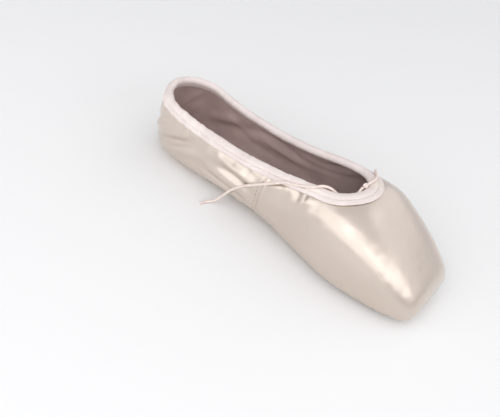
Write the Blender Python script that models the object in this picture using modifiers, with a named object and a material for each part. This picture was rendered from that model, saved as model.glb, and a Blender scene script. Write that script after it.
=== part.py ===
"""A pointe shoe, standing empty on its sole. Metres, +Z up, the toe points to -Y, the floor is z = 0.

Every piece follows one last: a row of ribs from the toe platform to the back of the heel. Each rib is a
half outline, from the middle of the sole round the side to the crown. At the heel the ribs fan out, and
the last one stands on the centre line. A place on a rib is given by its reach, the share of the way from
the centre line to the rib's widest place.
"""

import math
from collections import namedtuple

import bmesh
import bpy
import numpy as np

MM = 0.001

# Sizes of the last
SHOE_LENGTH = 238 * MM
BALL_WIDTH = 79 * MM
PLATFORM_WIDTH = 50 * MM
PLATFORM_HEIGHT = 20 * MM
PLATFORM_EDGE_RADIUS = 4 * MM
TOE_SPRING = 1.5 * MM
INSTEP_HEIGHT = 61 * MM
WAIST_WIDTH = 57 * MM
ARCH_RISE = 3.5 * MM
HEEL_WIDTH = 54 * MM
HEEL_HEIGHT = 52 * MM
HEEL_ROUNDING = 29 * MM

# Sizes of the upper
UPPER_WALL = 2.0 * MM
THROAT_REACH = 67 * MM
THROAT_ROUNDING = 18 * MM
LASTING_MARGIN = 7 * MM

# Sizes of the outsole
SOLE_THICKNESS = 2.5 * MM
SOLE_FLATTENING = 0.5 * MM
SOLE_SKIVE = 1.2 * MM
SOLE_TOE_SETBACK = 27 * MM
SOLE_TOE_ROUNDING = 16 * MM
SOLE_HEEL_SETBACK = 6 * MM
SOLE_FRONT_WIDTH = 40 * MM
SOLE_BALL_WIDTH = 46 * MM
SOLE_WAIST_WIDTH = 26 * MM
SOLE_HEEL_WIDTH = 36 * MM

# Sizes of the insole
INSOLE_THICKNESS = 1.8 * MM
INSOLE_TOE_SETBACK = 8 * MM
INSOLE_TOE_ROUNDING = 14 * MM
INSOLE_EDGE_MARGIN = 6 * MM

# Sizes of the collar casing and its drawstring
CASING_WIDTH = 9.5 * MM
CASING_THICKNESS = 1.2 * MM
CORD_DIAMETER = 1.8 * MM
CORD_STEP = 2.5
KNOT_SIZE = 3.6 * MM

# The gap between two pieces that touch
CLEARANCE = 0.3 * MM

# Fineness of the meshes
RIB_SPANS = (4, 4, 4, 5)
CORNER_REACH = 0.88
SHOULDER_REACH = 0.90
SPAN_SAMPLES = 41
PLATFORM_EDGE_STEPS = 3
HEEL_STEPS = 8
SLAB_ROWS = 24
SLAB_COLUMNS = 6
CASING_ROWS = 30
CASING_COLUMNS = 4
FOLD_STEPS = 3
BAND_SAMPLES = 80
WIDEST_REACH = 0.995
CURVE_SAMPLES = 12

HEEL_CENTRE = 1 - HEEL_ROUNDING / SHOE_LENGTH
THROAT = THROAT_REACH / SHOE_LENGTH
UNDERSIDE = SOLE_THICKNESS + CLEARANCE
FOLD_HOLLOW = UPPER_WALL / 2 + CLEARANCE
FOLD_RADIUS = FOLD_HOLLOW + CASING_THICKNESS

# One row for each main rib. along is the share of the shoe's length. width is the whole width, crown is the
# top above the floor, and rise is how far the bottom lifts. widest is the share of the rib's height at
# which it is widest. above and below say how square it is there: 2 is an ellipse, and more is boxier.
# Behind the throat the crown is the last's own, which the collar cuts off.
Rib = namedtuple("Rib", "along width crown rise widest above below")
RIBS = (
    Rib(0.00, 1.00 * PLATFORM_WIDTH, TOE_SPRING + PLATFORM_HEIGHT, 1.0 * TOE_SPRING, 0.34, 2.8, 4.4),
    Rib(0.05, 0.81 * BALL_WIDTH, 0.52 * INSTEP_HEIGHT, 0.5 * TOE_SPRING, 0.34, 2.8, 4.6),
    Rib(0.14, 0.93 * BALL_WIDTH, 0.78 * INSTEP_HEIGHT, 0, 0.34, 2.8, 5.0),
    Rib(0.25, 1.00 * BALL_WIDTH, 0.98 * INSTEP_HEIGHT, 0, 0.36, 2.8, 5.0),
    Rib(0.38, 0.87 * BALL_WIDTH, 0.97 * INSTEP_HEIGHT, 0.15 * ARCH_RISE, 0.38, 2.6, 4.4),
    Rib(0.52, 1.05 * WAIST_WIDTH, 0.88 * INSTEP_HEIGHT, 0.85 * ARCH_RISE, 0.40, 2.4, 3.8),
    Rib(0.64, 1.00 * WAIST_WIDTH, 0.98 * HEEL_HEIGHT, 0.85 * ARCH_RISE, 0.42, 2.4, 3.6),
    Rib(0.78, 1.00 * HEEL_WIDTH, 1.02 * HEEL_HEIGHT, 0, 0.44, 2.4, 4.0),
    Rib(0.90, 1.00 * HEEL_WIDTH, 1.14 * HEEL_HEIGHT, 0, 0.44, 2.4, 4.4),
    Rib(1.00, 1.00 * HEEL_WIDTH, 1.24 * HEEL_HEIGHT, 0, 0.42, 2.4, 4.4),
)

# The collar's edge and the casing that is folded over it. along is the share of the way from the throat to
# the back of the heel, and casing is the width of the casing's outer side.
CollarPoint = namedtuple("CollarPoint", "along reach casing")
COLLAR = (
    CollarPoint(0.00, 0.46, 1.00 * CASING_WIDTH),
    CollarPoint(0.20, 0.64, 0.72 * CASING_WIDTH),
    CollarPoint(0.45, 0.73, 0.70 * CASING_WIDTH),
    CollarPoint(0.75, 0.82, 0.70 * CASING_WIDTH),
    CollarPoint(1.00, 0.86, 0.70 * CASING_WIDTH),
)

# The outsole's outline in front of the heel. along is the share of the shoe's length.
SolePoint = namedtuple("SolePoint", "along width")
SOLE_OUTLINE = (
    SolePoint(0.10, 0.96 * SOLE_FRONT_WIDTH),
    SolePoint(0.16, 1.00 * SOLE_FRONT_WIDTH),
    SolePoint(0.27, 1.00 * SOLE_BALL_WIDTH),
    SolePoint(0.42, 0.78 * SOLE_BALL_WIDTH),
    SolePoint(0.58, 1.00 * SOLE_WAIST_WIDTH),
    SolePoint(0.70, 1.08 * SOLE_WAIST_WIDTH),
    SolePoint(0.88, 1.00 * SOLE_HEEL_WIDTH),
)

# The drawstring's two free ends, in millimetres from the origin, chosen by hand. The near one dips behind the
# casing, climbs over it, runs back along it and slants down the quarter to the floor.
NEAR_END_ROUTE = (
    (-1.5, -48.0, 61.0),
    (-4.5, -47.5, 58.0),
    (-8.5, -46.5, 55.5),
    (-12.0, -44.5, 54.5),
    (-14.0, -40.5, 54.5),
    (-15.0, -37.0, 56.0),
    (-16.5, -33.5, 58.0),
    (-19.0, -29.0, 58.5),
    (-23.0, -24.0, 56.5),
    (-24.5, -18.0, 54.0),
    (-25.5, -12.0, 51.5),
    (-26.0, -6.0, 49.5),
    (-27.5, -0.5, 46.0),
    (-28.5, 6.5, 41.0),
    (-29.5, 13.5, 36.0),
    (-30.0, 21.0, 30.0),
    (-30.0, 27.5, 23.5),
    (-30.0, 33.0, 16.0),
    (-30.0, 37.0, 9.0),
    (-31.0, 40.5, 3.5),
    (-34.0, 44.0, 1.5),
    (-37.0, 46.0, 1.0),
    (-40.0, 47.0, 1.0),
)

# The far one crosses the casing at the throat and bends down over the vamp's shoulder.
FAR_END_ROUTE = (
    (2.0, -48.5, 61.5),
    (5.5, -49.5, 62.0),
    (10.0, -50.0, 62.5),
    (14.5, -49.0, 62.0),
    (19.0, -46.5, 60.5),
    (23.5, -44.0, 58.5),
    (27.0, -42.5, 56.5),
    (30.0, -42.0, 53.0),
    (32.5, -42.5, 49.5),
    (35.0, -44.0, 45.5),
)


def smooth(x, xs, ys):
    """A curve through the points that never overshoots them: cubic pieces with limited slopes."""
    xs = np.asarray(xs, float)
    ys = np.asarray(ys, float)
    steps = np.diff(xs)
    slopes = np.diff(ys) / steps
    tangents = np.zeros(len(xs))
    for i in range(1, len(steps)):
        if slopes[i - 1] * slopes[i] > 0:
            before = 2 * steps[i] + steps[i - 1]
            after = steps[i] + 2 * steps[i - 1]
            tangents[i] = (before + after) / (before / slopes[i - 1] + after / slopes[i])
    tangents[0] = slopes[0]
    tangents[-1] = slopes[-1]
    x = np.asarray(x, float)
    at = np.clip(np.searchsorted(xs, x) - 1, 0, len(steps) - 1)
    step = steps[at]
    t = np.clip((x - xs[at]) / step, 0, 1)
    values = (1 + 2 * t) * (1 - t) ** 2 * ys[at] + t * t * (3 - 2 * t) * ys[at + 1]
    return values + t * (1 - t) * step * ((1 - t) * tangents[at] - t * tangents[at + 1])


def read(table, name, along):
    return smooth(along, [row.along for row in table], [getattr(row, name) for row in table])


def rounded(distance, radius):
    """The width of a rounded end at this distance from its tip, as a share of its full width."""
    return np.sqrt(1 - (1 - np.clip(distance / radius, 0, 1)) ** 2)


def half_width(along):
    """Half the rib's width. The fan at the heel keeps one width, so that its outline is an ellipse."""
    return read(RIBS, "width", np.minimum(along, HEEL_CENTRE)) / 2


def fan_turn(along):
    """How far a rib has turned in the fan at the heel, from 0 across the shoe to 1 on its centre line."""
    return np.clip((along - HEEL_CENTRE) / (1 - HEEL_CENTRE), 0, 1)


def on_rib(along, reach, height):
    """The points at these reaches and heights of a rib."""
    turn = fan_turn(along) * math.pi / 2
    foot = np.minimum(along, HEEL_CENTRE) * SHOE_LENGTH - SHOE_LENGTH / 2
    across = half_width(along) * np.cos(turn) * reach
    back = foot + HEEL_ROUNDING * np.sin(turn) * reach
    return np.stack(np.broadcast_arrays(across, back, height), -1)


def rib_at(x, y):
    """Which rib lies over a place on the floor, and at what reach."""
    from_toe = y + SHOE_LENGTH / 2
    behind = np.maximum(from_toe - HEEL_CENTRE * SHOE_LENGTH, 0) / HEEL_ROUNDING
    along = np.clip(from_toe / SHOE_LENGTH, 0, HEEL_CENTRE)
    across = np.abs(x) / half_width(along)
    turn = np.arctan2(behind, across) / (math.pi / 2)
    return along + (1 - HEEL_CENTRE) * np.where(behind > 0, turn, 0), np.hypot(across, behind)


def rib_heights(along):
    """The rib's bottom, its widest height and its crown above the floor."""
    bottom = UNDERSIDE + read(RIBS, "rise", along)
    crown = read(RIBS, "crown", along)
    return bottom, bottom + read(RIBS, "widest", along) * (crown - bottom), crown


def top_height(x, y):
    """The height of the last's upper side over a place on the floor."""
    along, reach = rib_at(x, y)
    _, middle, crown = rib_heights(along)
    power = read(RIBS, "above", along)
    return middle + (crown - middle) * (1 - np.minimum(reach, WIDEST_REACH) ** power) ** (1 / power)


def under_height(x, y):
    """The height of the last's underside over a place on the floor."""
    along, reach = rib_at(x, y)
    bottom, middle, _ = rib_heights(along)
    power = read(RIBS, "below", along)
    return middle - (middle - bottom) * (1 - np.minimum(reach, WIDEST_REACH) ** power) ** (1 / power)


def collar_reach(along):
    """The reach of the collar's edge: 0 in front of the throat, where the ribs close."""
    behind = np.maximum(along - THROAT, 0)
    return read(COLLAR, "reach", behind / (1 - THROAT)) * rounded(behind * SHOE_LENGTH, THROAT_ROUNDING)


def sole_reach(along):
    """The reach of the outsole's edge: a slim outline with round ends."""
    from_toe = np.minimum(along, HEEL_CENTRE) * SHOE_LENGTH
    half = read(SOLE_OUTLINE, "width", np.minimum(along, HEEL_CENTRE)) / 2
    side = half / half_width(along) * rounded(from_toe - SOLE_TOE_SETBACK, SOLE_TOE_ROUNDING)
    back = 1 - SOLE_HEEL_SETBACK / HEEL_ROUNDING
    return side + (back - side) * np.sin(fan_turn(along) * math.pi / 2) ** 2


def opening_reach(along):
    """The reach of the upper's opening underneath, which the outsole covers with its margin."""
    from_toe = np.minimum(along, HEEL_CENTRE) * SHOE_LENGTH
    half = read(SOLE_OUTLINE, "width", np.minimum(along, HEEL_CENTRE)) / 2 - LASTING_MARGIN
    return half / half_width(along) * rounded(from_toe - SOLE_TOE_SETBACK - LASTING_MARGIN, SOLE_TOE_ROUNDING)


def insole_reach(along):
    """The reach of the insole's edge: the last's outline less a margin, with a round toe."""
    from_toe = np.minimum(along, HEEL_CENTRE) * SHOE_LENGTH
    side = 1 - INSOLE_EDGE_MARGIN / half_width(along)
    back = 1 - INSOLE_EDGE_MARGIN / HEEL_ROUNDING
    return (side + (back - side) * fan_turn(along)) * rounded(from_toe - INSOLE_TOE_SETBACK, INSOLE_TOE_ROUNDING)


def evenly(points, at):
    """The points of a polyline at these distances along it, or that many points spaced evenly."""
    length = np.concatenate([[0.0], np.cumsum(np.linalg.norm(np.diff(points, axis=0), axis=1))])
    if np.isscalar(at):
        at = np.linspace(0, length[-1], at)
    return np.stack([np.interp(at, length, points[:, axis]) for axis in range(3)], -1)


def rib_side(along, upper_side, reaches):
    """Points on the rib's upper or lower side that divide each span between these reaches evenly."""
    bottom, middle, crown = rib_heights(along)
    side = "above" if upper_side else "below"
    rise = crown - middle if upper_side else bottom - middle
    power = read(RIBS, side, along)
    spans = []
    for start, end, count in reaches:
        angles = np.linspace(math.acos(start ** (power / 2)), math.acos(end ** (power / 2)), SPAN_SAMPLES)
        reach = np.maximum(np.cos(angles), 0) ** (2 / power)
        reach[[0, -1]] = start, end
        spans.append(evenly(on_rib(along, reach, middle + rise * np.sin(angles) ** (2 / power)), count + 1))
    return spans


def rib_points(along, low_reach, high_reach):
    """Points round a rib, from a reach under the foot to a reach on the upper side."""
    sole, corner, side, top = RIB_SPANS
    shoulder = max(SHOULDER_REACH, (1 + high_reach) / 2)
    low = rib_side(along, False, ((low_reach, CORNER_REACH, sole), (CORNER_REACH, 1.0, corner)))
    high = rib_side(along, True, ((1.0, shoulder, side), (shoulder, high_reach, top)))
    return np.concatenate([span[:-1] for span in low + high] + [high[-1][-1:]])


def rib_places():
    """The ribs of the upper's mesh, closer together where its two openings begin."""
    edge = PLATFORM_EDGE_RADIUS / SHOE_LENGTH
    opening = (SOLE_TOE_SETBACK + LASTING_MARGIN) / SHOE_LENGTH
    toe = np.linspace(edge, opening, 7)
    box = opening + (THROAT - opening) * np.array([0.015, 0.06, 0.14, 0.26, 0.42, 0.6, 0.8, 1.0])
    throat = THROAT + (HEEL_CENTRE - THROAT) * np.array([0.004, 0.015, 0.033, 0.06, 0.095, 0.135, 0.18])
    quarter = THROAT + (HEEL_CENTRE - THROAT) * np.linspace(0.24, 1, 13)
    heel = np.linspace(HEEL_CENTRE, 1, HEEL_STEPS + 1)[1:]
    return np.concatenate([toe, box, throat, quarter, heel])


def drawn_in(outline, distance):
    """A half outline made smaller all round by about this distance."""
    half_size = np.array([outline[:, 0].max(), 1, np.ptp(outline[:, 2]) / 2])
    centre = (outline[0] + outline[-1]) / 2
    return centre + (outline - centre) * (1 - distance / half_size)


def upper_rows():
    """Half of the upper as rows of points, from the middle of the platform to the back of the heel."""
    edge = PLATFORM_EDGE_RADIUS
    outline = rib_points(edge / SHOE_LENGTH, 0.0, 0.0)
    rim = []
    for step in range(PLATFORM_EDGE_STEPS):
        angle = (1 - step / PLATFORM_EDGE_STEPS) * math.pi / 2
        ring = drawn_in(outline, edge * (1 - math.cos(angle)))
        ring[:, 1] = edge * (1 - math.sin(angle)) - SHOE_LENGTH / 2
        rim.append(ring)
    centre = (rim[0][0] + rim[0][-1]) / 2
    rings = [centre + (rim[0] - centre) * share for share in (0.0, 0.4, 0.75)]
    ribs = [
        rib_points(along, float(opening_reach(along)), float(collar_reach(along)))
        for along in rib_places()
    ]
    return np.array(rings + rim + ribs)


def slab_rows(reach, toe, under, over, skive):
    """Half of a flat piece as rows of points: each goes out along the bottom and back along the top."""
    half_turn = np.linspace(0, math.pi, SLAB_ROWS)
    front = toe + (HEEL_CENTRE - toe) * (1 - np.cos(half_turn)) / 2
    fan = np.linspace(HEEL_CENTRE, 1, HEEL_STEPS + 1)[1:]
    rows = []
    for along in np.concatenate([front, fan]):
        floor = on_rib(along, np.linspace(0, 1, SLAB_COLUMNS) * float(reach(along)), 0.0)
        x, y, _ = floor.T
        bottom = np.stack([x, y, under(x, y)], -1)
        top = np.stack([x, y, over(x, y)], -1)
        bottom[-1, 2] += skive
        rows.append(np.concatenate([bottom, top[::-1]]))
    return np.array(rows)


def outsole_under(x, y):
    """The sole's underside follows the last, and is pressed flat in the middle."""
    rise = read(RIBS, "rise", rib_at(x, y)[0])
    return rise + np.maximum(under_height(x, y) - UNDERSIDE - rise - SOLE_FLATTENING, 0)


def outsole_over(x, y):
    return under_height(x, y) - CLEARANCE


def insole_under(x, y):
    """The insole lies on the inside of the upper, a wall's thickness square to the last."""
    step = 0.1 * MM
    across = (under_height(x + step, y) - under_height(x - step, y)) / (2 * step)
    back = (under_height(x, y + step) - under_height(x, y - step)) / (2 * step)
    return under_height(x, y) + (UPPER_WALL + CLEARANCE) * np.sqrt(1 + across**2 + back**2)


def insole_over(x, y):
    return insole_under(x, y) + INSOLE_THICKNESS


def collar_band(count):
    """Points on the last in rows down from the collar's edge, and their normals, for the casing to follow."""
    turn = np.linspace(0, math.pi / 2, 4 * count)
    along = THROAT + (1 - THROAT) * (1 - np.cos(turn))
    edge = on_rib(along, collar_reach(along), 0.0)
    edge[:, 2] = top_height(edge[:, 0], edge[:, 1])
    edge = evenly(edge, count)
    way = np.gradient(edge[:, :2], axis=0)
    way[0] = 1, 0
    way[-1] = -1, 0
    way /= np.linalg.norm(way, axis=1, keepdims=True)
    outward = np.stack([way[:, 1], -way[:, 0]], -1)
    outward[[0, -1], 0] = 0
    out = np.linspace(0, 1, BAND_SAMPLES) ** 1.5 * 1.2 * CASING_WIDTH
    plan = edge[:, None, :2] + outward[:, None] * out[None, :, None]
    strips = np.concatenate([plan, top_height(plan[..., 0], plan[..., 1])[..., None]], -1)
    widths = read(COLLAR, "casing", np.maximum(rib_at(edge[:, 0], edge[:, 1])[0] - THROAT, 0) / (1 - THROAT))
    shares = np.linspace(0, 1, CASING_COLUMNS)
    band = np.array([evenly(strip, width * shares) for strip, width in zip(strips, widths)])
    forward = np.gradient(band, axis=0)
    forward[[0, -1], :, 1:] = 0
    normal = np.cross(forward, -np.gradient(band, axis=1))
    return band, normal / np.linalg.norm(normal, axis=-1, keepdims=True)


def fold_centre_and_axes(band, normal):
    """The middle of the casing's fold, and the ways out of the wall and up past its edge."""
    up = band[:, 0] - band[:, 1]
    up /= np.linalg.norm(up, axis=1, keepdims=True)
    return band[:, 0] - normal[:, 0] * UPPER_WALL / 2, normal[:, 0], up


def casing_rows():
    """Half of the collar casing as closed profiles: a strip folded over the edge, loose at the top."""
    band, normal = collar_band(CASING_ROWS)
    centre, out, up = fold_centre_and_axes(band, normal)
    angles = np.linspace(0, math.pi, FOLD_STEPS + 2)[1:-1]

    def leg(columns, height):
        return [band[:, j] + normal[:, j] * height for j in columns]

    def fold(turns, radius):
        return [centre + (out * math.cos(a) + up * math.sin(a)) * radius for a in turns]

    outer = range(CASING_COLUMNS)
    inner = range(CASING_COLUMNS - 1)
    profile = leg(reversed(outer), CLEARANCE + CASING_THICKNESS)
    profile += fold(angles, FOLD_RADIUS)
    profile += leg(inner, -UPPER_WALL - CLEARANCE - CASING_THICKNESS)
    profile += leg(reversed(inner), -UPPER_WALL - CLEARANCE)
    profile += fold(angles[::-1], FOLD_HOLLOW)
    profile += leg(outer, CLEARANCE)
    return np.stack(profile, 1)


def loft(name, rows, closed, material, collection):
    """A mesh object from half the shape's rows of points, mirrored across the centre line."""
    mesh = bpy.data.meshes.new(name)
    build = bmesh.new()
    vertices = [[build.verts.new(point) for point in row] for row in rows]
    count = len(rows[0])
    for i in range(len(rows) - 1):
        for j in range(count if closed else count - 1):
            k = (j + 1) % count
            build.faces.new((vertices[i][j], vertices[i + 1][j], vertices[i + 1][k], vertices[i][k]))
    bmesh.ops.remove_doubles(build, verts=build.verts, dist=0.001 * MM)
    build.to_mesh(mesh)
    build.free()
    shoe_piece = bpy.data.objects.new(name, mesh)
    collection.objects.link(shoe_piece)
    mesh.materials.append(material)
    mirror = shoe_piece.modifiers.new("left_half", "MIRROR")
    mirror.merge_threshold = 0.01 * MM
    return shoe_piece


def smooth_shading(shoe_piece):
    shoe_piece.data.shade_smooth()
    shoe_piece.data.set_sharp_from_angle(angle=math.radians(50))


def finish(name, colour, roughness):
    """A plain material for one sub-part."""
    material = bpy.data.materials.new(name)
    material.use_nodes = True
    shader = material.node_tree.nodes["Principled BSDF"]
    shader.inputs["Base Color"].default_value = (*colour, 1)
    shader.inputs["Roughness"].default_value = roughness
    shader.inputs["Metallic"].default_value = 0
    return material


def make_upper(collection):
    """Satin over lining, stiffened at the toe: one hollow wall, open at the collar and underneath."""
    material = finish("ivory satin", (0.72, 0.61, 0.53), 0.35)
    upper = loft("upper", upper_rows(), False, material, collection)
    wall = upper.modifiers.new("wall", "SOLIDIFY")
    wall.thickness = UPPER_WALL
    wall.offset = -1
    wall.use_even_offset = True
    smooth_shading(upper)


def make_outsole(collection):
    """The thin leather sole."""
    rows = slab_rows(sole_reach, SOLE_TOE_SETBACK / SHOE_LENGTH, outsole_under, outsole_over, SOLE_SKIVE)
    material = finish("sole leather", (0.62, 0.48, 0.36), 0.7)
    smooth_shading(loft("outsole", rows, False, material, collection))


def make_insole(collection):
    """The cloth-covered insole."""
    toe = INSOLE_TOE_SETBACK / SHOE_LENGTH
    rows = slab_rows(insole_reach, toe, insole_under, insole_over, 0.4 * INSOLE_THICKNESS)
    material = finish("insole cloth", (0.38, 0.32, 0.32), 0.9)
    smooth_shading(loft("insole", rows, False, material, collection))


def make_collar_casing(collection):
    """The bias strip folded over the collar's edge, which holds the drawstring."""
    material = finish("casing cotton", (0.82, 0.72, 0.70), 0.6)
    smooth_shading(loft("collar_casing", casing_rows(), True, material, collection))


def knot_place():
    """The middle of the knot, which rests on the casing's fold at the throat."""
    centre, out, up = fold_centre_and_axes(*collar_band(CASING_ROWS))
    lean = (out[0] + up[0]) / math.sqrt(2)
    return centre[0] + lean * (FOLD_RADIUS + CLEARANCE + KNOT_SIZE / 2)


def make_drawstring_knot(collection, material):
    """The small knot in which the two ends of the drawstring leave the casing."""
    mesh = bpy.data.meshes.new("drawstring_knot")
    build = bmesh.new()
    bmesh.ops.create_uvsphere(build, u_segments=12, v_segments=8, radius=KNOT_SIZE / 2)
    build.to_mesh(mesh)
    build.free()
    mesh.materials.append(material)
    knot = bpy.data.objects.new("drawstring_knot", mesh)
    knot.location = knot_place()
    collection.objects.link(knot)
    smooth_shading(knot)


def smooth_route(route):
    """Points a few diameters apart on a smooth curve through a cord's route."""
    points = np.array(route) * MM
    points = np.concatenate([[2 * points[0] - points[1]], points, [2 * points[-1] - points[-2]]])
    t = np.linspace(0, 1, CURVE_SAMPLES, endpoint=False)[:, None]
    curve = []
    for before, start, end, after in zip(points, points[1:], points[2:], points[3:]):
        bend = 2 * before - 5 * start + 4 * end - after
        turn = 3 * start - before - 3 * end + after
        curve.append(start + 0.5 * t * (end - before + t * (bend + t * turn)))
    curve = np.concatenate(curve + [points[-2:-1]])
    length = np.linalg.norm(np.diff(curve, axis=0), axis=1).sum()
    return evenly(curve, 1 + round(length / (CORD_STEP * CORD_DIAMETER)))


def make_drawstring_end(name, route, collection, material):
    """One free end of the drawstring: a thin elastic cord."""
    curve = bpy.data.curves.new(name, "CURVE")
    curve.dimensions = "3D"
    curve.bevel_depth = CORD_DIAMETER / 2
    curve.bevel_resolution = 2
    curve.use_fill_caps = True
    points = smooth_route(route)
    spline = curve.splines.new("POLY")
    spline.points.add(len(points) - 1)
    for spot, place in zip(spline.points, points):
        spot.co = (*place, 1)
    curve.materials.append(material)
    collection.objects.link(bpy.data.objects.new(name, curve))


def make_pointe_shoe():
    for leftover in list(bpy.data.objects):
        bpy.data.objects.remove(leftover)
    collection = bpy.data.collections.new("pointe_shoe")
    bpy.context.scene.collection.children.link(collection)
    cord = finish("elastic cord", (0.85, 0.72, 0.66), 0.6)
    make_upper(collection)
    make_outsole(collection)
    make_insole(collection)
    make_collar_casing(collection)
    make_drawstring_knot(collection, cord)
    make_drawstring_end("drawstring_near", NEAR_END_ROUTE, collection, cord)
    make_drawstring_end("drawstring_far", FAR_END_ROUTE, collection, cord)


make_pointe_shoe()
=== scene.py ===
"""A satin pointe shoe in a studio's light. Metres, +Z up, the toe points to -Y, the floor is z = 0."""

import math
from collections import namedtuple

import bpy
import numpy as np
from mathutils import Matrix
from mathutils.bvhtree import BVHTree


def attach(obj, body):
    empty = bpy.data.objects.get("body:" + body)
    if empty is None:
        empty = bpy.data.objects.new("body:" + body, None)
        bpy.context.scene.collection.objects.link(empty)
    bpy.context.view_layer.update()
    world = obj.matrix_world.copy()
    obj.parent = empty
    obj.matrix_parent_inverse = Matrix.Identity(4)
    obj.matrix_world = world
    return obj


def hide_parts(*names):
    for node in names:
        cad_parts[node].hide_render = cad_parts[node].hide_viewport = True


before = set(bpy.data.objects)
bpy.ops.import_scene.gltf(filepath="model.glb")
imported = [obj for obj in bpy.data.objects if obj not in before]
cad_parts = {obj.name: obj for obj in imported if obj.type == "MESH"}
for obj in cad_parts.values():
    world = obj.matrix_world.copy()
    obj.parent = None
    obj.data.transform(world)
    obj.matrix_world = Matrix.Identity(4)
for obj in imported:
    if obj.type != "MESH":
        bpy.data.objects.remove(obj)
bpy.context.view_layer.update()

# Satin upper
# The ivory satin that covers the stiff box and the soft quarters. It is sewn at the two sides and at
# the heel, pulled tight over the last, pleated under the toe and gathered a little by the drawstring.
MM = 0.001
SHOE_LENGTH = 238 * MM
BALL_WIDTH = 79 * MM
PLATFORM_WIDTH = 50 * MM
PLATFORM_HEIGHT = 20 * MM
PLATFORM_EDGE_RADIUS = 6.5 * MM
PLATFORM_EDGE_POWER = 2.3
TOE_SPRING = 1.5 * MM
INSTEP_HEIGHT = 61 * MM
WAIST_WIDTH = 57 * MM
ARCH_RISE = 3.5 * MM
HEEL_WIDTH = 54 * MM
HEEL_HEIGHT = 52 * MM
HEEL_ROUNDING = 29 * MM
THROAT_REACH = 67 * MM
THROAT_ROUNDING = 18 * MM
UNDERSIDE = 2.8 * MM
LASTING_MARGIN = 7 * MM
SATIN_THICKNESS = 0.9 * MM
SIDE_SEAM = 128.5 * MM
SEAM_ALLOWANCE = 3.5 * MM

HEEL_CENTRE = 1 - HEEL_ROUNDING / SHOE_LENGTH
THROAT = THROAT_REACH / SHOE_LENGTH

# the last's ribs from toe to heel, by the share of its length: full width, top, rise of the sole off
# the floor, how far up the rib is widest, and how square it is above and below that place
Rib = namedtuple("Rib", "along width crown rise widest above below")
LAST = (
    Rib(0.00, 1.00 * PLATFORM_WIDTH, TOE_SPRING + PLATFORM_HEIGHT, 1.0 * TOE_SPRING, 0.34, 2.8, 4.4),
    Rib(0.05, 0.81 * BALL_WIDTH, 0.52 * INSTEP_HEIGHT, 0.5 * TOE_SPRING, 0.34, 2.8, 4.6),
    Rib(0.14, 0.93 * BALL_WIDTH, 0.78 * INSTEP_HEIGHT, 0, 0.34, 2.8, 5.0),
    Rib(0.25, 1.00 * BALL_WIDTH, 0.98 * INSTEP_HEIGHT, 0, 0.36, 2.8, 5.0),
    Rib(0.38, 0.87 * BALL_WIDTH, 0.97 * INSTEP_HEIGHT, 0.15 * ARCH_RISE, 0.38, 2.6, 4.4),
    Rib(0.52, 1.05 * WAIST_WIDTH, 0.88 * INSTEP_HEIGHT, 0.85 * ARCH_RISE, 0.40, 2.4, 3.8),
    Rib(0.64, 1.00 * WAIST_WIDTH, 0.98 * HEEL_HEIGHT, 0.85 * ARCH_RISE, 0.42, 2.4, 3.6),
    Rib(0.78, 1.00 * HEEL_WIDTH, 1.02 * HEEL_HEIGHT, 0, 0.44, 2.4, 4.0),
    Rib(0.90, 1.00 * HEEL_WIDTH, 1.14 * HEEL_HEIGHT, 0, 0.44, 2.4, 4.4),
    Rib(1.00, 1.00 * HEEL_WIDTH, 1.24 * HEEL_HEIGHT, 0, 0.42, 2.4, 4.4),
)

# the collar's edge from throat to heel: how far out on its rib it lies, and the casing's width
CollarPoint = namedtuple("CollarPoint", "along reach casing")
COLLAR = (
    CollarPoint(0.00, 0.46, 9.5 * MM),
    CollarPoint(0.20, 0.64, 6.8 * MM),
    CollarPoint(0.45, 0.73, 6.6 * MM),
    CollarPoint(0.75, 0.82, 6.6 * MM),
    CollarPoint(1.00, 0.86, 6.6 * MM),
)

# the sole's full width, by the share of the shoe's length
SolePoint = namedtuple("SolePoint", "along width")
SOLE_OUTLINE = (
    SolePoint(0.10, 38.4 * MM),
    SolePoint(0.16, 40 * MM),
    SolePoint(0.27, 46 * MM),
    SolePoint(0.42, 36 * MM),
    SolePoint(0.58, 26 * MM),
    SolePoint(0.70, 28 * MM),
    SolePoint(0.88, 36 * MM),
)
SOLE_TOE_SETBACK = 27 * MM
SOLE_TOE_ROUNDING = 16 * MM
SOLE_HEEL_SETBACK = 6 * MM

# how far the last's curves are evened out, and where the spans of a rib's points meet
EVENING_STRETCH = 0.055
EVENING_SAMPLES = 9
EVENING_END_WEIGHT = 0.05
STEP_SAMPLES = 6
CORNER_REACH = 0.88
SHOULDER_REACH = 0.90
WIDEST_REACH = 0.995
SAME_PLACE = 0.001 * MM


def smooth(x, xs, ys):
    """A curve through the points that never overshoots them: cubic pieces with limited slopes."""
    xs = np.asarray(xs, float)
    ys = np.asarray(ys, float)
    steps = np.diff(xs)
    slopes = np.diff(ys) / steps
    tangents = np.zeros(len(xs))
    for i in range(1, len(steps)):
        if slopes[i - 1] * slopes[i] > 0:
            before = 2 * steps[i] + steps[i - 1]
            after = steps[i] + 2 * steps[i - 1]
            tangents[i] = (before + after) / (before / slopes[i - 1] + after / slopes[i])
    tangents[0] = slopes[0]
    tangents[-1] = slopes[-1]
    x = np.asarray(x, float)
    at = np.clip(np.searchsorted(xs, x) - 1, 0, len(steps) - 1)
    step = steps[at]
    t = np.clip((x - xs[at]) / step, 0, 1)
    values = (1 + 2 * t) * (1 - t) ** 2 * ys[at] + t * t * (3 - 2 * t) * ys[at + 1]
    return values + t * (1 - t) * step * ((1 - t) * tangents[at] - t * tangents[at + 1])


def read(table, name, along):
    return smooth(along, [row.along for row in table], [getattr(row, name) for row in table])


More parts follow.
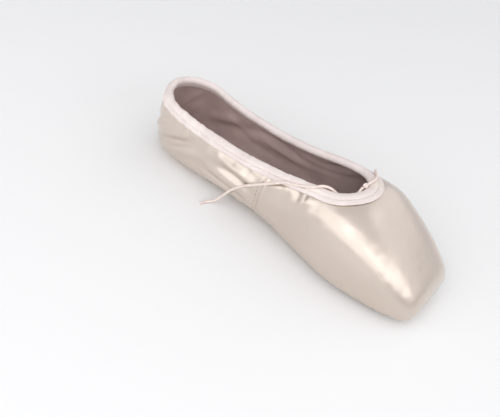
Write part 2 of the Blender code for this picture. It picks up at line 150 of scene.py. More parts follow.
def read_last(name, along):
    """A size of the last, evened out over a short stretch so that the gloss runs on unbroken."""
    along = np.asarray(along, float)
    stretch = np.minimum(np.minimum(along, 1 - along), EVENING_STRETCH)
    steps = np.linspace(-1, 1, EVENING_SAMPLES)
    weights = 1 - steps**2 + EVENING_END_WEIGHT
    values = sum(w * read(LAST, name, along + step * stretch) for w, step in zip(weights, steps))
    return values / weights.sum()


def between(pairs, at):
    """A value read in straight lines from a short table of places and values."""
    places, values = zip(*pairs)
    return np.interp(at, places, values)


def rounded(distance, radius):
    return np.sqrt(1 - (1 - np.clip(distance / radius, 0, 1)) ** 2)


def half_width(along):
    return read_last("width", np.minimum(along, HEEL_CENTRE)) / 2


def fan_turn(along):
    return np.clip((along - HEEL_CENTRE) / (1 - HEEL_CENTRE), 0, 1)


def behind_toe(along):
    return np.minimum(along, HEEL_CENTRE) * SHOE_LENGTH


def on_rib(along, reach, height):
    """Points at these reaches and heights of one of the last's ribs, which fan out round the heel."""
    turn = fan_turn(along) * math.pi / 2
    foot = behind_toe(along) - SHOE_LENGTH / 2
    across = half_width(along) * np.cos(turn) * reach
    back = foot + HEEL_ROUNDING * np.sin(turn) * reach
    return np.stack(np.broadcast_arrays(across, back, height), -1)


def rib_at(x, y):
    """Which rib a place lies on, and how far out on it, as a share of the rib's reach."""
    from_toe = y + SHOE_LENGTH / 2
    behind = np.maximum(from_toe - HEEL_CENTRE * SHOE_LENGTH, 0) / HEEL_ROUNDING
    along = np.clip(from_toe / SHOE_LENGTH, 0, HEEL_CENTRE)
    across = np.abs(x) / half_width(along)
    turn = np.arctan2(behind, across) / (math.pi / 2)
    return along + (1 - HEEL_CENTRE) * np.where(behind > 0, turn, 0), np.hypot(across, behind)


def rib_heights(along):
    bottom = UNDERSIDE + read_last("rise", along)
    crown = read_last("crown", along)
    return bottom, bottom + read_last("widest", along) * (crown - bottom), crown


def top_height(x, y):
    along, reach = rib_at(x, y)
    _, middle, crown = rib_heights(along)
    power = read_last("above", along)
    return middle + (crown - middle) * (1 - np.minimum(reach, WIDEST_REACH) ** power) ** (1 / power)


def under_height(x, y):
    along, reach = rib_at(x, y)
    bottom, middle, _ = rib_heights(along)
    power = read_last("below", along)
    return middle - (middle - bottom) * (1 - np.minimum(reach, WIDEST_REACH) ** power) ** (1 / power)


def collar_reach(along):
    behind = np.maximum(along - THROAT, 0)
    reach = read(COLLAR, "reach", behind / (1 - THROAT))
    return reach * rounded(behind * SHOE_LENGTH, THROAT_ROUNDING)


def sole_half(along):
    return read(SOLE_OUTLINE, "width", np.minimum(along, HEEL_CENTRE)) / 2


def sole_reach(along):
    front = rounded(behind_toe(along) - SOLE_TOE_SETBACK, SOLE_TOE_ROUNDING)
    side = sole_half(along) / half_width(along) * front
    back = 1 - SOLE_HEEL_SETBACK / HEEL_ROUNDING
    return side + (back - side) * np.sin(fan_turn(along) * math.pi / 2) ** 2


def opening_reach(along):
    """The edge of the opening underneath, where the satin is pulled in and the sole closes it."""
    front = rounded(behind_toe(along) - SOLE_TOE_SETBACK - LASTING_MARGIN, SOLE_TOE_ROUNDING)
    return (sole_half(along) - LASTING_MARGIN) / half_width(along) * front


def run_length(points):
    return np.concatenate([[0.0], np.cumsum(np.linalg.norm(np.diff(points, axis=0), axis=1))])


def evenly(points, at):
    """Points on a line, at these lengths along it or, for a whole number, so many evenly spaced."""
    length = run_length(points)
    if np.isscalar(at):
        at = np.linspace(0, length[-1], at)
    return np.stack([np.interp(at, length, points[:, axis]) for axis in range(3)], -1)


def rib_side(along, upper_side, reaches):
    """Evenly spaced points on the upper or the lower side of half a rib, span by span."""
    bottom, middle, crown = rib_heights(along)
    rise = crown - middle if upper_side else bottom - middle
    power = read_last("above" if upper_side else "below", along)
    spans = []
    for start, end, count in reaches:
        first, last = math.acos(start ** (power / 2)), math.acos(end ** (power / 2))
        angles = np.linspace(first, last, STEP_SAMPLES * count)
        reach = np.maximum(np.cos(angles), 0) ** (2 / power)
        reach[[0, -1]] = start, end
        height = middle + rise * np.sin(angles) ** (2 / power)
        spans.append(evenly(on_rib(along, reach, height), count + 1))
    return spans


Spans = namedtuple("Spans", "under corner side top")


def rib_points(along, spans):
    """Points round half a rib, from the opening underneath to the collar or the crown."""
    opening = float(opening_reach(along))
    collar = float(collar_reach(along))
    shoulder = max(SHOULDER_REACH, (1 + collar) / 2)
    under = ((opening, CORNER_REACH, spans.under), (CORNER_REACH, 1.0, spans.corner))
    over = ((1.0, shoulder, spans.side), (shoulder, collar, spans.top))
    parts = rib_side(along, False, under) + rib_side(along, True, over)
    return np.concatenate([part[:-1] for part in parts] + [parts[-1][-1:]])


# rows of points along the shoe, closer together towards the throat and towards the heel seam
Rows = namedtuple("Rows", "edge toe vamp quarter seam back heel")
VAMP_CROWDING = 1.2
QUARTER_CROWDING = 1.5
HEEL_CROWDING = 1.3


def last_rows(spans, rows):
    """Half of the last's surface as rows of points, from the middle of the platform to the heel."""
    edge = PLATFORM_EDGE_RADIUS
    rim = []
    for step in range(rows.edge):
        angle = (1 - step / rows.edge) * math.pi / 2
        inward = edge * (1 - math.cos(angle) ** (2 / PLATFORM_EDGE_POWER))
        depth = edge * (1 - math.sin(angle) ** (2 / PLATFORM_EDGE_POWER))
        outline = rib_points(depth / SHOE_LENGTH, spans)
        half_size = np.array([outline[:, 0].max(), 1, np.ptp(outline[:, 2]) / 2])
        centre = (outline[0] + outline[-1]) / 2
        rim.append(centre + (outline - centre) * (1 - inward / half_size * [1, 0, 1]))
    middle = (rim[0][0] + rim[0][-1]) / 2
    face = [middle + (rim[0] - middle) * share for share in np.linspace(0, 1, rows.edge + 1)[:-1]]
    opening = (SOLE_TOE_SETBACK + LASTING_MARGIN) / SHOE_LENGTH
    seam_start = (SIDE_SEAM - SEAM_ALLOWANCE) / SHOE_LENGTH
    seam_end = (SIDE_SEAM + SEAM_ALLOWANCE) / SHOE_LENGTH
    vamp, quarter, heel = (
        np.linspace(0, 1, count + 1)[1:] for count in (rows.vamp, rows.quarter, rows.heel)
    )
    places = np.concatenate(
        [
            np.linspace(edge / SHOE_LENGTH, opening, rows.toe),
            opening + (THROAT - opening) * vamp**VAMP_CROWDING,
            THROAT + (seam_start - THROAT) * quarter**QUARTER_CROWDING,
            np.linspace(seam_start, seam_end, rows.seam + 1)[1:],
            np.linspace(seam_end, HEEL_CENTRE, rows.back + 1)[1:],
            1 - (1 - HEEL_CENTRE) * (1 - heel) ** HEEL_CROWDING,
        ]
    )
    return np.array(face + rim + [rib_points(along, spans) for along in places])


def both_sides(rows):
    """The vertices and faces of both halves of the last's surface, joined along the centre line."""
    count = len(rows[0])
    right = rows.reshape(-1, 3)
    points = np.concatenate([right, right * [-1, 1, 1]])
    places = np.round(points / SAME_PLACE)
    _, first, same = np.unique(places, axis=0, return_index=True, return_inverse=True)
    same = same.ravel()
    faces = []
    for half in range(2):
        for i in range(len(rows) - 1):
            for j in range(count - 1):
                start = half * len(right) + i * count + j
                face = [start, start + count, start + count + 1, start + 1]
                if half:
                    face.reverse()
                face = [same[k] for k in face]
                face = [k for n, k in enumerate(face) if k != face[n - 1]]
                if len(face) > 2:
                    faces.append(face)
    return points[first], faces


def new_mesh(name, points, faces):
    mesh = bpy.data.meshes.new(name)
    corners = [tuple(int(k) for k in face) for face in faces]
    mesh.from_pydata([tuple(point) for point in points], [], corners)
    mesh.update()
    mesh.shade_smooth()
    piece = bpy.data.objects.new(name, mesh)
    bpy.context.scene.collection.objects.link(piece)
    return piece


def push_out(piece, relief):
    """Moves a piece's points along their normals, by what a function says for each of them."""
    points = np.array([v.co for v in piece.data.vertices])
    normals = np.zeros(3 * len(points), np.float32)
    piece.data.vertices.foreach_get("normal", normals)
    points = points + normals.reshape(-1, 3).astype(float) * relief(points)[:, None]
    piece.data.vertices.foreach_set("co", points.astype(np.float32).ravel())
    piece.data.update()


def thicken(piece, thickness):
    """Gives a piece its cloth's thickness, inwards from the side that shows."""
    wall = piece.modifiers.new("cloth", "SOLIDIFY")
    wall.thickness = thickness
    wall.offset = -1


def nearest_on_line(points, line):
    """How far each point lies from a line, and how far along the line its nearest place is."""
    best = np.full(len(points), np.inf)
    where = np.zeros(len(points))
    length = run_length(line)
    for start, end, begun in zip(line, line[1:], length):
        way = end - start
        share = np.clip((points - start) @ way / (way @ way), 0, 1)
        distance = np.linalg.norm(points - start - share[:, None] * way, axis=1)
        nearer = distance < best
        best[nearer] = distance[nearer]
        where[nearer] = begun + share[nearer] * np.linalg.norm(way)
    return best, where, length[-1]


WAVE_VALUES = 4096
WAVE_START = 1000


def uneven_wave(where, step, seed):
    """A row of soft ripples about this far apart, none of them alike."""
    values = np.random.default_rng(seed).uniform(-1, 1, WAVE_VALUES)
    at = where / step + WAVE_START
    low = np.floor(at).astype(int)
    t = at - low
    t = t * t * (3 - 2 * t)
    return values[low % WAVE_VALUES] * (1 - t) + values[(low + 1) % WAVE_VALUES] * t


Ripples = namedtuple("Ripples", "step shift seed")
SMALL_RIPPLES = 0.5


def gathers(where, side, large, small):
    """Large ripples with small ones on them, shifted so that the two sides of the shoe differ."""
    waves = [uneven_wave(where + row.shift * side, row.step, row.seed) for row in (large, small)]
    return waves[0] + SMALL_RIPPLES * waves[1]


def ridge(distance, width):
    return np.exp(-((distance / width) ** 2))


def on_side(side, along, up):
    """The point this far up the side of the upper, from the sole's edge at 0 to the collar at 1."""
    line = rib_points(along, Spans(6, 6, 6, 8))
    return evenly(line, np.array([up * run_length(line)[-1]]))[0] * [side, 1, 1]


Crease = namedtuple("Crease", "side route width depth")
NEAR, FAR = -1, 1
CREASES = (
    # lengthwise folds behind the side seam
    Crease(NEAR, ((0.56, 0.66), (0.62, 0.70), (0.70, 0.72)), 2.6 * MM, -1.5 * MM),
    Crease(NEAR, ((0.56, 0.74), (0.63, 0.79), (0.72, 0.80)), 2.8 * MM, 1.4 * MM),
    Crease(NEAR, ((0.55, 0.54), (0.62, 0.57), (0.72, 0.60), (0.78, 0.64)), 3.0 * MM, 1.2 * MM),
    Crease(NEAR, ((0.57, 0.46), (0.66, 0.47), (0.76, 0.52)), 2.4 * MM, -1.4 * MM),
    Crease(FAR, ((0.55, 0.62), (0.62, 0.66), (0.72, 0.68)), 2.8 * MM, -1.5 * MM),
    Crease(FAR, ((0.56, 0.72), (0.64, 0.76), (0.73, 0.78)), 3.0 * MM, 1.4 * MM),
    Crease(FAR, ((0.58, 0.48), (0.68, 0.50), (0.77, 0.55)), 2.6 * MM, 1.2 * MM),
    # folds that fan out from the bottom of the heel
    Crease(NEAR, ((0.93, 0.42), (0.88, 0.56), (0.82, 0.72), (0.79, 0.86)), 2.8 * MM, -1.6 * MM),
    Crease(NEAR, ((0.90, 0.40), (0.84, 0.52), (0.77, 0.66), (0.73, 0.82)), 3.2 * MM, 1.5 * MM),
    Crease(NEAR, ((0.96, 0.46), (0.93, 0.62), (0.90, 0.80)), 2.6 * MM, 1.4 * MM),
    Crease(FAR, ((0.92, 0.42), (0.87, 0.55), (0.81, 0.70), (0.77, 0.86)), 2.8 * MM, -1.6 * MM),
    Crease(FAR, ((0.89, 0.38), (0.82, 0.52), (0.75, 0.68), (0.71, 0.84)), 3.2 * MM, 1.5 * MM),
    Crease(FAR, ((0.97, 0.44), (0.94, 0.60), (0.91, 0.78)), 2.6 * MM, 1.4 * MM),
    # slack at the arch
    Crease(NEAR, ((0.44, 0.30), (0.52, 0.36), (0.60, 0.34)), 4.0 * MM, -0.9 * MM),
    Crease(FAR, ((0.44, 0.32), (0.53, 0.36), (0.61, 0.33)), 4.0 * MM, -0.9 * MM),
    # pulls at the ends of the stiff box, below the casing
    Crease(NEAR, ((0.36, 0.90), (0.40, 0.84), (0.43, 0.76)), 2.6 * MM, 0.55 * MM),
    Crease(NEAR, ((0.40, 0.92), (0.43, 0.87), (0.46, 0.80)), 2.4 * MM, 0.35 * MM),
    Crease(NEAR, ((0.44, 0.92), (0.48, 0.87), (0.52, 0.80)), 2.6 * MM, 0.7 * MM),
    Crease(FAR, ((0.37, 0.90), (0.41, 0.83), (0.44, 0.75)), 2.4 * MM, 0.8 * MM),
    Crease(FAR, ((0.42, 0.92), (0.46, 0.86), (0.50, 0.79)), 2.2 * MM, -0.8 * MM),
)
# a crease fades out at both ends, and a lower swelling of the other kind runs along its sides
CREASE_POINTS = 13
CREASE_FADE, CREASE_END = 0.8, 0.001
FLANK_SHARE, FLANK_PLACE, FLANK_WIDTH = 0.35, 1.9, 0.8


def crease_depths(points, creases):
    """How far the creases lift each point, below zero in a trough."""
    total = np.zeros(len(points))
    even = np.linspace(0, 1, CREASE_POINTS)
    for crease in creases:
        knots = [on_side(crease.side, along, up) for along, up in crease.route]
        shares = np.linspace(0, 1, len(knots))
        line = np.stack([smooth(even, shares, [k[axis] for k in knots]) for axis in range(3)], -1)
        distance, where, length = nearest_on_line(points, line)
        share = np.clip(where / length, CREASE_END, 1 - CREASE_END)
        fade = np.sin(math.pi * share) ** CREASE_FADE
        x = distance / crease.width
        total += crease.depth * fade * (ridge(x, 1) - FLANK_SHARE * ridge(x - FLANK_PLACE, FLANK_WIDTH))
    return total


def collar_line(count):
    """The collar's edge on the far half, from the middle of the throat to the middle of the heel."""
    turn = np.linspace(0, math.pi / 2, 4 * count)
    along = THROAT + (1 - THROAT) * (1 - np.cos(turn))
    edge = on_rib(along, collar_reach(along), 0.0)
    edge[:, 2] = top_height(edge[:, 0], edge[:, 1])
    return evenly(edge, count)


def sole_line(count):
    """The sole's edge on the far half, from the middle of its toe to the start of the heel's curve."""
    along = np.linspace(SOLE_TOE_SETBACK / SHOE_LENGTH, HEEL_CENTRE, 4 * count)
    edge = on_rib(along, sole_reach(along), 0.0)
    edge[:, 2] = under_height(edge[:, 0], edge[:, 1])
    return evenly(edge, count)


# the satin never lies dead flat on the paste: waves this far apart in mm, each one turned, tilted
# and moved on from the one before it, in radians
PASTE_DEPTH = 0.017 * MM
PASTE_WAVES = 6.1, 7.7, 9.4, 11.8
PASTE_TURN, PASTE_FIRST_TILT, PASTE_TILT, PASTE_PHASE = 2.4, 1.1, 3.7, 1.7
# puckers below the casing, by the share of the way from throat to heel: depth and reach in mm
COLLAR_POINTS = 120
PUCKERS = Ripples(4.2 * MM, 90 * MM, seed=3), Ripples(2.1 * MM, 40 * MM, seed=5)
PUCKER_DEPTHS = ((0, 0), (0.13, 0.02), (0.2, 0.4), (0.35, 0.5), (0.5, 0.4), (0.8, 0.6), (1, 0.75))
PUCKER_REACHES = ((0, 4), (0.2, 8), (0.5, 7), (0.8, 10), (1, 13))
# pleats under the toe, by the mm along the sole's edge from its toe: depth and reach in mm, and how
# far a pleat stands out and a trough goes in as shares of that depth
SOLE_POINTS = 100
PLEAT_STEP = 4.4 * MM
PLEAT_DRIFT, PLEAT_DRIFT_STEP = 1.2 * MM, 5 * MM
PLEAT_FULLNESS, PLEAT_RIDGE, PLEAT_TROUGH = 0.7, 0.5, 1.0
PLEAT_TOP = 16 * MM
PLEAT_DEPTHS = ((0, 1.25), (60, 0.8), (110, 0.3), (160, 0.4))
PLEAT_REACHES = ((0, 21), (18, 17), (45, 9), (80, 5))
# soft unevenness of the quarters, which begins behind the stiff box
QUARTER_START, QUARTER_FADE = 95 * MM, 40 * MM
QUARTER_DEPTH, QUARTER_STEP, QUARTER_SLANT, QUARTER_SEED = 0.3 * MM, 12 * MM, 0.7, 7
# a seam is a groove between two swollen edges, and fades out above the sole
GROOVE_DEPTH, GROOVE_WIDTH = 0.55 * MM, 0.6 * MM
SWELL_HEIGHT, SWELL_WIDTH, SWELL_PLACE = 0.3 * MM, 0.9 * MM, 1.5 * MM
SEAM_FOOT, SEAM_FADE = 5 * MM, 2 * MM


def satin_relief(points):
    """How far the satin stands out of the last: creases, puckers, pleats and seams."""
    side = np.where(points[:, 0] < 0, NEAR, FAR)
    mirrored = points.copy()
    mirrored[:, 0] = np.abs(mirrored[:, 0])
    from_toe = points[:, 1] + SHOE_LENGTH / 2
    relief = crease_depths(points, CREASES)
    for n, step in enumerate(PASTE_WAVES):
        turn, tilt = PASTE_TURN * n, PASTE_FIRST_TILT + PASTE_TILT * n
        way = np.array([math.cos(turn), math.sin(turn), math.cos(tilt)])
        relief += PASTE_DEPTH * np.sin(points @ way * 2 * math.pi / (step * MM) + PASTE_PHASE * n)

    distance, where, length = nearest_on_line(mirrored, collar_line(COLLAR_POINTS))
    share = where / length
    below = np.maximum(distance - read(COLLAR, "casing", np.clip(share, 0, 1)), 0)
    depth = between(PUCKER_DEPTHS, share) * MM * gathers(where, side, *PUCKERS)
    relief += depth * ridge(below, between(PUCKER_REACHES, share) * MM)

    distance, where, _ = nearest_on_line(mirrored, sole_line(SOLE_POINTS))
    drift = PLEAT_DRIFT * np.sin(where / PLEAT_DRIFT_STEP)
    folds = np.abs(np.cos(math.pi * (where + drift) / PLEAT_STEP)) ** PLEAT_FULLNESS
    folds = (PLEAT_RIDGE + PLEAT_TROUGH) * folds - PLEAT_TROUGH
    depth = between(PLEAT_DEPTHS, where / MM) * MM * (points[:, 2] < PLEAT_TOP)
    relief += depth * folds * ridge(distance, between(PLEAT_REACHES, where / MM) * MM)

    slack = np.clip((from_toe - QUARTER_START) / QUARTER_FADE, 0, 1)
    slanted = from_toe + QUARTER_SLANT * points[:, 2] * side
    relief += QUARTER_DEPTH * slack * uneven_wave(slanted, QUARTER_STEP, QUARTER_SEED)

    upright = np.clip((points[:, 2] - SEAM_FOOT) / SEAM_FADE, 0, 1)
    in_back = from_toe > SHOE_LENGTH / 2
    for across, sewn in ((np.abs(from_toe - SIDE_SEAM), 1), (np.abs(points[:, 0]), in_back)):
        groove = GROOVE_DEPTH * ridge(across, GROOVE_WIDTH)
        swell = SWELL_HEIGHT * ridge(across - SWELL_PLACE, SWELL_WIDTH)
        relief += sewn * upright * (swell - groove)
    return relief


def shader_of(material):
    return material.node_tree.nodes["Principled BSDF"]


DRIFT_STOPS = 0.35, 0.65


def cloth_material(name, tones, drift_scale, roughness):
    """A material whose colour drifts softly between two tones."""
    material = bpy.data.materials.new(name)
    material.use_nodes = True
    nodes, links = material.node_tree.nodes, material.node_tree.links
    shader = shader_of(material)
    shader.inputs["Roughness"].default_value = roughness
    place = nodes.new("ShaderNodeTexCoord")
    drift = nodes.new("ShaderNodeTexNoise")
    drift.inputs["Scale"].default_value = drift_scale
    drift.inputs["Detail"].default_value = 2
    ramp = nodes.new("ShaderNodeValToRGB")
    for stop, position, tone in zip(ramp.color_ramp.elements, DRIFT_STOPS, tones):
        stop.position = position
        stop.color = (*tone, 1)
    links.new(place.outputs["Object"], drift.inputs["Vector"])
    links.new(drift.outputs["Fac"], ramp.inputs["Fac"])
    links.new(ramp.outputs["Color"], shader.inputs["Base Color"])
    return material


def thread_bump(material, scale, strength, stretch=(1, 1, 1), depth=0.3 * MM):
    """Fine threads or grain as bump: a noise that may be drawn out along one way."""
    nodes, links = material.node_tree.nodes, material.node_tree.links
    place = nodes.new("ShaderNodeTexCoord")
    turn = nodes.new("ShaderNodeMapping")
    turn.inputs["Scale"].default_value = stretch
    grain = nodes.new("ShaderNodeTexNoise")
    grain.inputs["Scale"].default_value = scale
    grain.inputs["Detail"].default_value = 3
    bump = nodes.new("ShaderNodeBump")
    bump.inputs["Strength"].default_value = strength
    bump.inputs["Distance"].default_value = depth
    links.new(place.outputs["Object"], turn.inputs["Vector"])
    links.new(turn.outputs["Vector"], grain.inputs["Vector"])
    links.new(grain.outputs["Fac"], bump.inputs["Height"])
    links.new(bump.outputs["Normal"], shader_of(material).inputs["Normal"])


SATIN_TONES = (0.585, 0.484, 0.40), (0.63, 0.524, 0.44)
satin = cloth_material("ivory satin", SATIN_TONES, 18, roughness=0.33)
shader_of(satin).inputs["Metallic"].default_value = 0.8
shader_of(satin).inputs["Coat Weight"].default_value = 1.0
shader_of(satin).inputs["Coat Roughness"].default_value = 0.3
shader_of(satin).inputs["Coat IOR"].default_value = 2.3
thread_bump(satin, 1500, 0.2, stretch=(1, 0.2, 1))

SATIN_SPANS = Spans(under=16, corner=14, side=16, top=26)
SATIN_ROWS = Rows(edge=10, toe=30, vamp=42, quarter=58, seam=14, back=56, heel=42)
satin_cover = new_mesh("satin_cover", *both_sides(last_rows(SATIN_SPANS, SATIN_ROWS)))
push_out(satin_cover, satin_relief)
satin_cover.data.materials.append(satin)
thicken(satin_cover, SATIN_THICKNESS)
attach(satin_cover, "root")
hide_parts("upper")

# Lining
# The grey-mauve cotton inside the upper, glued to the box and loose at the quarters, where it has
# wrinkled lengthwise.
LINING_THICKNESS = 0.8 * MM
LINING_INSET = 1.15 * MM
LINING_CREASES = (
    Crease(FAR, ((0.30, 0.80), (0.40, 0.74), (0.52, 0.72), (0.62, 0.76)), 2.6 * MM, -1.2 * MM),
    Crease(FAR, ((0.34, 0.66), (0.46, 0.62), (0.60, 0.62), (0.70, 0.66)), 2.8 * MM, -1.1 * MM),
    Crease(NEAR, ((0.36, 0.72), (0.48, 0.66), (0.62, 0.68)), 2.8 * MM, -1.0 * MM),
    Crease(FAR, ((0.70, 0.58), (0.78, 0.64), (0.86, 0.72)), 2.6 * MM, -1.0 * MM),
    Crease(NEAR, ((0.72, 0.56), (0.80, 0.64), (0.88, 0.72)), 2.6 * MM, -1.0 * MM),
)


def lining_relief(points):
    """The lining lies inside the satin, follows its creases and adds troughs of its own."""
    own = np.minimum(crease_depths(points, LINING_CREASES), 0)
    return -LINING_INSET + crease_depths(points, CREASES) + own


LINING_TONES = (0.42, 0.315, 0.295), (0.50, 0.38, 0.355)
cotton = cloth_material("lining cotton", LINING_TONES, 60, roughness=0.85)
thread_bump(cotton, 1500, 0.3)

LINING_SPANS = Spans(under=8, corner=8, side=10, top=14)
LINING_ROWS = Rows(edge=4, toe=16, vamp=22, quarter=28, seam=3, back=40, heel=24)
lining = new_mesh("lining", *both_sides(last_rows(LINING_SPANS, LINING_ROWS)))
push_out(lining, lining_relief)
lining.data.materials.append(cotton)
thicken(lining, LINING_THICKNESS)
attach(lining, "root")

# Insole
# The sock that the foot stands on: thin grey-mauve cloth over a card, cut a little smaller than the
# bottom of the shoe, laid loose in it and worn soft.
UPPER_WALL = 2.0 * MM
INSOLE_THICKNESS = 1.8 * MM
INSOLE_EDGE_MARGIN = 6 * MM
INSOLE_TOE_SETBACK = 8 * MM
INSOLE_TOE_ROUNDING = 14 * MM
INSOLE_EDGE = 1.2 * MM
CLEARANCE = 0.3 * MM
SLAB_ROWS = 90
SLAB_COLUMNS = 22


def insole_reach(along):
    side = 1 - INSOLE_EDGE_MARGIN / half_width(along)
    back = 1 - INSOLE_EDGE_MARGIN / HEEL_ROUNDING
    front = rounded(behind_toe(along) - INSOLE_TOE_SETBACK, INSOLE_TOE_ROUNDING)
    return (side + (back - side) * fan_turn(along)) * front


def insole_under(x, y):
    """The wall's inside below the foot, which lies further off the last where the last is steep."""
    step = 0.1 * MM
    across = (under_height(x + step, y) - under_height(x - step, y)) / (2 * step)
    back = (under_height(x, y + step) - under_height(x, y - step)) / (2 * step)
    return under_height(x, y) + (UPPER_WALL + CLEARANCE) * np.sqrt(1 + across**2 + back**2)


def insole_top(x, y):
    return insole_under(x, y) + INSOLE_THICKNESS


def slab(name, reach, setback, under, over, edge):
    """A flat piece that follows the last, with a softly rounded edge."""
    toe = setback / SHOE_LENGTH
    turn = np.linspace(0, math.pi, SLAB_ROWS)
    front = toe + (HEEL_CENTRE - toe) * (1 - np.cos(turn)) / 2
    along = np.concatenate([front, np.linspace(HEEL_CENTRE, 1, SLAB_ROWS // 4)[1:]])
    shares = np.sin(np.linspace(0, math.pi / 2, SLAB_COLUMNS))
    grid = np.array([on_rib(a, shares * float(reach(a)), 0.0) for a in along])
    x, y = grid[..., 0], grid[..., 1]
    low, high = under(x, y), over(x, y)
    middle, half = (low + high) / 2, (high - low) / 2
    inward = (1 - shares) * reach(along)[:, None] * half_width(along)[:, None]
    fullness = rounded(inward, edge)
    bottom = np.stack([x, y, middle - half * fullness], -1)
    top = np.stack([x, y, middle + half * fullness], -1)
    return new_mesh(name, *both_sides(np.concatenate([bottom, top[:, -2::-1]], axis=1)))


SOCK_TONES = (0.50, 0.42, 0.41), (0.60, 0.51, 0.50)
sock = cloth_material("insole cloth", SOCK_TONES, 45, roughness=0.9)
thread_bump(sock, 1300, 0.35, stretch=(1, 1, 0.3))
insole = slab("insole_sock", insole_reach, INSOLE_TOE_SETBACK, insole_under, insole_top, INSOLE_EDGE)
insole.data.materials.append(sock)
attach(insole, "root")
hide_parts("insole")

# Outsole
# A slim piece of buffed leather, skived thin at its edge. It is sewn on under the pleats and closes
# the opening underneath, where the satin is pulled in.
SOLE_FLATTENING = 0.5 * MM
SOLE_EDGE = 2.6 * MM
SOLE_SEAT = 0.1 * MM


def outsole_under(x, y):
    rise = read_last("rise", rib_at(x, y)[0])
    return rise + np.maximum(under_height(x, y) - UNDERSIDE - rise - SOLE_FLATTENING, 0)


def outsole_top(x, y):
    return under_height(x, y) - SOLE_SEAT


LEATHER_TONES = (0.55, 0.40, 0.27), (0.66, 0.50, 0.36)
hide = cloth_material("sole leather", LEATHER_TONES, 30, roughness=0.7)
thread_bump(hide, 700, 0.35, depth=0.4 * MM)
outsole = slab("leather_sole", sole_reach, SOLE_TOE_SETBACK, outsole_under, outsole_top, SOLE_EDGE)
outsole.data.materials.append(hide)
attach(outsole, "root")
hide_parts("outsole")

# Collar casing
# A bias strip of pale tape folded over the collar's edge and stitched down, so that the drawstring
# can run inside it. The pull of the drawstring puckers it.
TAPE_THICKNESS = 0.5 * MM
FOLD_RADIUS = 2.1 * MM
FOLD_STEPS = 10
CASING_SHOWN = 0.84
CASING_ROWS = 330
CASING_SHARES = np.linspace(0, 1, 21)
BAND_SAMPLES, BAND_CROWDING, BAND_REACH = 80, 1.5, 11.4 * MM
# the tape's height off the last in mm, from the fold at 0 to the sewn edge at 1: it swells over the
# drawstring and dips at both rows of stitches
OUTSIDE_HEIGHTS = (
    (0, 1.1), (0.16, 1.5), (0.36, 1.3), (0.45, 0.95), (0.5, 0.55), (0.55, 0.8),
    (0.68, 0.9), (0.79, 0.8), (0.85, 0.55), (0.91, 0.62), (1.0, 0.25),
)
INSIDE_HEIGHTS = ((0, 1.1), (0.3, 1.1), (0.6, 0.8), (0.9, 0.7), (1.0, 0.3))
TAPE_RIPPLES = Ripples(2.6 * MM, 60 * MM, seed=11), Ripples(1.4 * MM, 30 * MM, seed=13)
RIPPLE_DEPTHS = ((0, 0.10), (0.1, 0.12), (0.3, 0.16), (0.7, 0.24), (1.0, 0.30))
RIPPLE_FADE = 3 * MM
INSIDE_RIPPLE = 0.6


def casing_band(count, shares):
    """Rows of points on the last, down from the collar's edge, and the last's normals there."""
    edge = collar_line(count)
    way = np.gradient(edge[:, :2], axis=0)
    way[0] = 1, 0
    way[-1] = -1, 0
    way /= np.linalg.norm(way, axis=1, keepdims=True)
    outward = np.stack([way[:, 1], -way[:, 0]], -1)
    outward[[0, -1], 0] = 0
    out = np.linspace(0, 1, BAND_SAMPLES) ** BAND_CROWDING * BAND_REACH
    plan = edge[:, None, :2] + outward[:, None] * out[None, :, None]
    strips = np.concatenate([plan, top_height(plan[..., 0], plan[..., 1])[..., None]], -1)
    behind = np.maximum(rib_at(edge[:, 0], edge[:, 1])[0] - THROAT, 0)
    widths = CASING_SHOWN * read(COLLAR, "casing", behind / (1 - THROAT))
    band = np.array([evenly(strip, width * shares) for strip, width in zip(strips, widths)])
    forward = np.gradient(band, axis=0)
    forward[[0, -1], :, 1:] = 0
    normal = np.cross(forward, -np.gradient(band, axis=1))
    return band, normal / np.linalg.norm(normal, axis=-1, keepdims=True)


def casing_half(side):
    """Half of the casing as rows of points, from its sewn edge outside over the fold to the inside."""
    band, normal = casing_band(CASING_ROWS, CASING_SHARES)
    edge, out = band[:, 0], normal[:, 0]
    up = edge - band[:, 1]
    up /= np.linalg.norm(up, axis=1, keepdims=True)
    length = run_length(edge)
    slack = satin_relief((band * [side, 1, 1]).reshape(-1, 3)).reshape(band.shape[:2])
    ripple = gathers(length, side, *TAPE_RIPPLES) * between(RIPPLE_DEPTHS, length / length[-1]) * MM
    for end in (length, length[-1] - length):
        ripple = ripple * np.clip(end / RIPPLE_FADE, 0, 1)
    outside = smooth(CASING_SHARES, *zip(*OUTSIDE_HEIGHTS)) * MM
    inside = smooth(CASING_SHARES, *zip(*INSIDE_HEIGHTS)) * MM
    columns = []
    for j in range(len(CASING_SHARES) - 1, -1, -1):
        lift = outside[j] + ripple + slack[:, j] * CASING_SHARES[j]
        columns.append(band[:, j] + normal[:, j] * lift[:, None])
    for angle in np.linspace(0, math.pi, FOLD_STEPS + 1)[1:-1]:
        way = out * math.cos(angle) + up * math.sin(angle)
        columns.append(edge - out * UPPER_WALL / 2 + way * (FOLD_RADIUS + ripple)[:, None])
    for j in range(len(CASING_SHARES) - 2):
        lift = UPPER_WALL + inside[j] + INSIDE_RIPPLE * ripple
        columns.append(band[:, j] - normal[:, j] * lift[:, None])
    return np.stack(columns, 1) * [side, 1, 1]


def tape_loop(name, right, left):
    """Both halves of the tape as one strip that closes round the collar."""
    loop = np.concatenate([right, left[-2:0:-1]])
    rows, columns = loop.shape[:2]
    faces = []
    for i in range(rows):
        k = (i + 1) % rows
        for j in range(columns - 1):
            a, b = i * columns + j, k * columns + j
            faces.append((a, a + 1, b + 1, b))
    return new_mesh(name, loop.reshape(-1, 3), faces)


